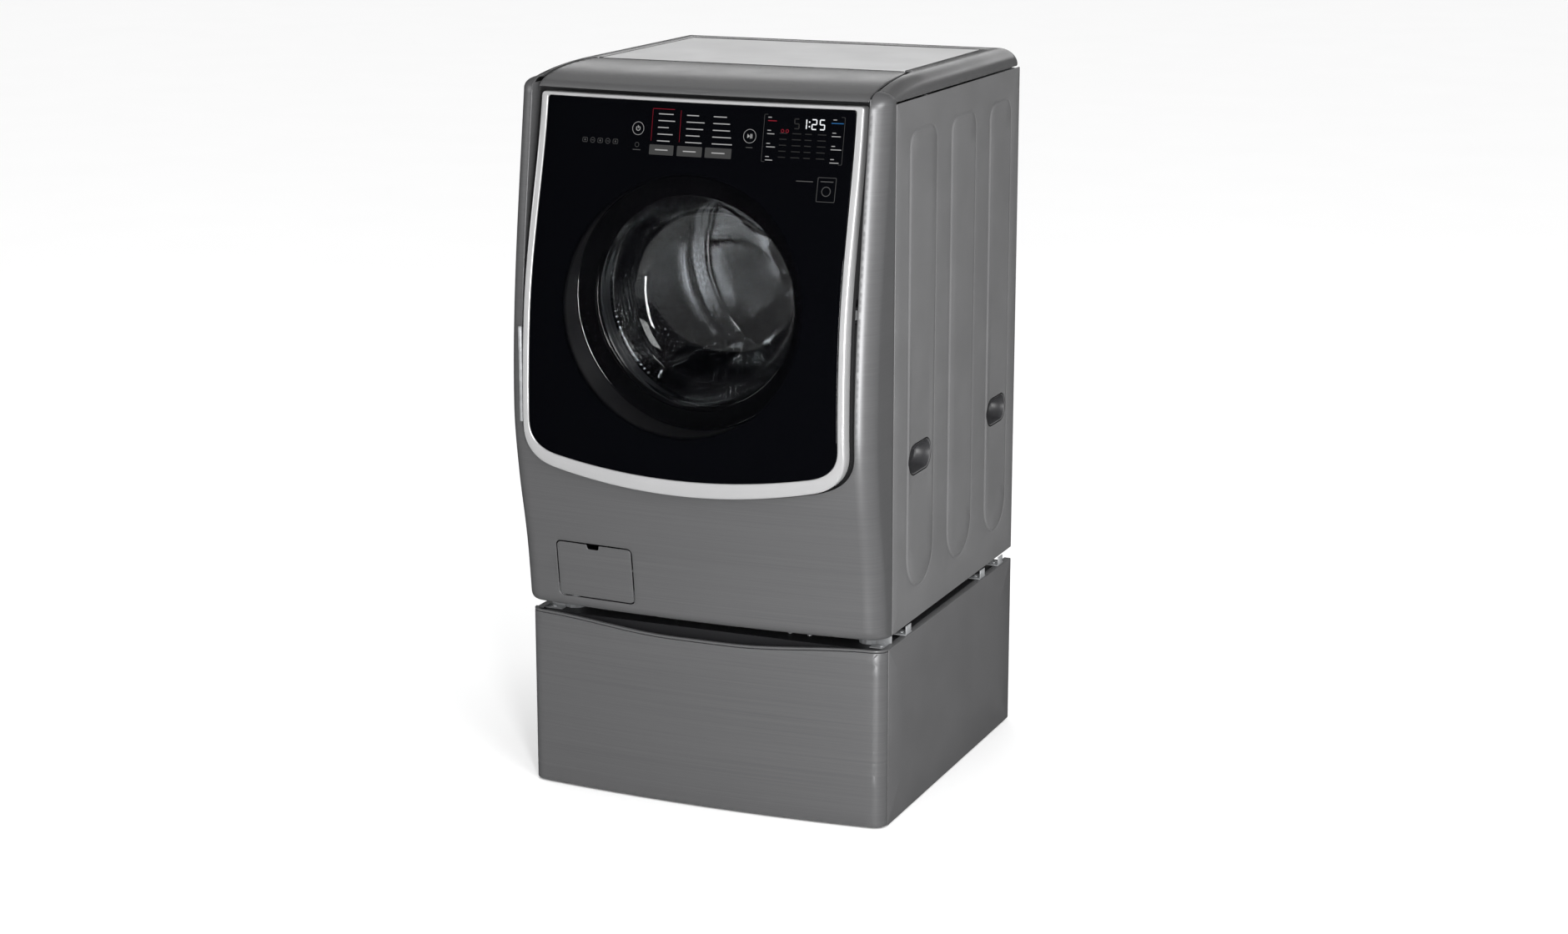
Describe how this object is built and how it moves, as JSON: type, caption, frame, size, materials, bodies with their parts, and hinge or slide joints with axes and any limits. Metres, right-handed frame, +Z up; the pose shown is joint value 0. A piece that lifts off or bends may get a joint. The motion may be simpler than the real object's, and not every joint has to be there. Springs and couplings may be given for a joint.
{
  "type": "front load washing machine",
  "caption": "Front load washing machine with a wide curved tinted glass door, brushed graphite front, top dispenser lid and a matching pedestal drawer underneath.",
  "frame": {"origin": "on the floor, under the middle of the machine's width and depth", "axes": "+Z up, the front faces -Y, +X is to the right of somebody facing the door"},
  "size_m": [0.74, 0.8348, 1.399],
  "materials": {
    "side_steel": "smooth satin graphite paint",
    "front_steel": "horizontally brushed graphite stainless steel with a satin clear coat",
    "cover_metal": "metallic graphite paint, semi gloss",
    "top_plate": "light grey satin powder coat",
    "zinc_sheet": "galvanised sheet",
    "deck_paint": "dark satin paint",
    "drawer_paint": "grey painted sheet",
    "inner_paint": "dark grey paint",
    "black_plastic": "fine moulded texture",
    "grey_plastic": "light grey moulded",
    "tub_plastic": "glass filled moulding",
    "zinc_hardware": "zinc plated steel",
    "board": "circuit board in a potting tray",
    "grey_rubber": "soft grey moulded rubber",
    "foot_rubber": "black rubber",
    "weight_iron": "cast",
    "motor_iron": "laminated iron with windings",
    "drum_steel": "bright stainless steel, perforated",
    "door_chrome": "satin chrome plating",
    "ring_chrome": "dark bright chrome",
    "tinted_glass": "dark tinted curved glass",
    "bowl_glass": "clear moulded glass"
  },
  "bodies": {
    "cabinet": {"side_panel_right": "side_steel", "side_panel_left": "side_steel", "front_panel": "front_steel", "top_frame": "cover_metal", "top_plate": "top_plate", "rear_panel": "zinc_sheet", "base_pan": "zinc_sheet", "front_bulkhead": "inner_paint", "dispenser_housing": "black_plastic", "dispenser_tray": "grey_plastic", "door_lock": "black_plastic", "door_hinge_bracket": "zinc_hardware", "drain_pump": "grey_plastic", "inlet_valves": "grey_plastic", "drain_outlet": "black_plastic", "power_inlet": "black_plastic", "main_board": "board", "tub_spring_right": "zinc_hardware", "tub_spring_left": "zinc_hardware", "damper_cylinder_right": "black_plastic", "damper_cylinder_left": "black_plastic", "sump_hose": "grey_rubber", "door_gasket": "grey_rubber", "pedestal_side_right": "side_steel", "pedestal_side_left": "side_steel", "pedestal_rear": "zinc_sheet", "pedestal_deck": "deck_paint", "pedestal_base": "zinc_sheet", "pedestal_foot_front_left": "foot_rubber", "pedestal_foot_front_right": "foot_rubber", "pedestal_foot_rear_left": "foot_rubber", "pedestal_foot_rear_right": "foot_rubber"},
    "tub": {"tub_front": "tub_plastic", "tub_rear": "tub_plastic", "tub_weight_front": "weight_iron", "motor_stator": "motor_iron", "damper_rod_right": "zinc_hardware", "damper_rod_left": "zinc_hardware"},
    "drum": {"drum_shell": "drum_steel", "drum_rear": "drum_steel", "drum_lifter_1": "drum_steel", "drum_lifter_2": "drum_steel", "drum_lifter_3": "drum_steel", "drive_shaft": "zinc_hardware", "motor_rotor": "motor_iron"},
    "door": {"door_frame": "door_chrome", "door_glass": "tinted_glass", "door_inner_cover": "black_plastic", "porthole_ring": "ring_chrome", "door_bowl": "bowl_glass", "display_board": "board", "door_hinge_leaf": "zinc_hardware"},
    "latch": {"door_latch_hook": "zinc_hardware"},
    "lid": {"dispenser_lid": "cover_metal"},
    "flap": {"pump_flap": "front_steel"},
    "filter": {"filter_cap": "black_plastic"},
    "drawer": {"drawer_front": "front_steel", "drawer_box": "drawer_paint"},
    "drawer_rails": {"middle_rail_right": "zinc_hardware", "middle_rail_left": "zinc_hardware"}
  },
  "joints": [
    {"name": "tub_float", "type": "slide", "parent": "cabinet", "child": "tub", "axis": [0, 0, 1], "range_m": [-0.01, 0.008], "stiffness_N_per_m": 12000, "springref_m": 0.0363, "deforming": ["tub_spring_right", "tub_spring_left", "door_gasket", "sump_hose"]},
    {"name": "drum_spin", "type": "hinge", "parent": "tub", "child": "drum", "pos_m": [0, 0, 0.985], "axis": [0, 1, 0], "continuous": true},
    {"name": "door_hinge", "type": "hinge", "parent": "cabinet", "child": "door", "pos_m": [-0.335, -0.386, 0.835], "axis": [0, 0, -1], "range_deg": [0, 110]},
    {"name": "latch_pivot", "type": "hinge", "parent": "door", "child": "latch", "pos_m": [0.3175, -0.322, 0.985], "axis": [0, 0, -1], "range_deg": [0, 5], "stiffness_Nm_per_rad": 1.5},
    {"name": "lid_hinge", "type": "hinge", "parent": "cabinet", "child": "lid", "pos_m": [0, -0.079, 1.394], "axis": [-1, 0, 0], "range_deg": [0, 75]},
    {"name": "flap_hinge", "type": "hinge", "parent": "cabinet", "child": "flap", "pos_m": [-0.207, -0.33507, 0.4055], "axis": [0.998, -0.063, 0], "range_deg": [0, 90]},
    {"name": "filter_turn", "type": "hinge", "parent": "cabinet", "child": "filter", "pos_m": [-0.207, -0.25, 0.45], "axis": [0, -1, 0], "range_deg": [0, 90]},
    {"name": "drawer_slide", "type": "slide", "parent": "cabinet", "child": "drawer", "axis": [0, -1, 0], "range_m": [0, 0.4]},
    {"name": "rail_slide", "type": "slide", "parent": "cabinet", "child": "drawer_rails", "axis": [0, -1, 0], "range_m": [0, 0.2]}
  ],
  "couplings": [
    {"joint": "rail_slide", "follows": "drawer_slide", "ratio": 0.5}
  ]
}
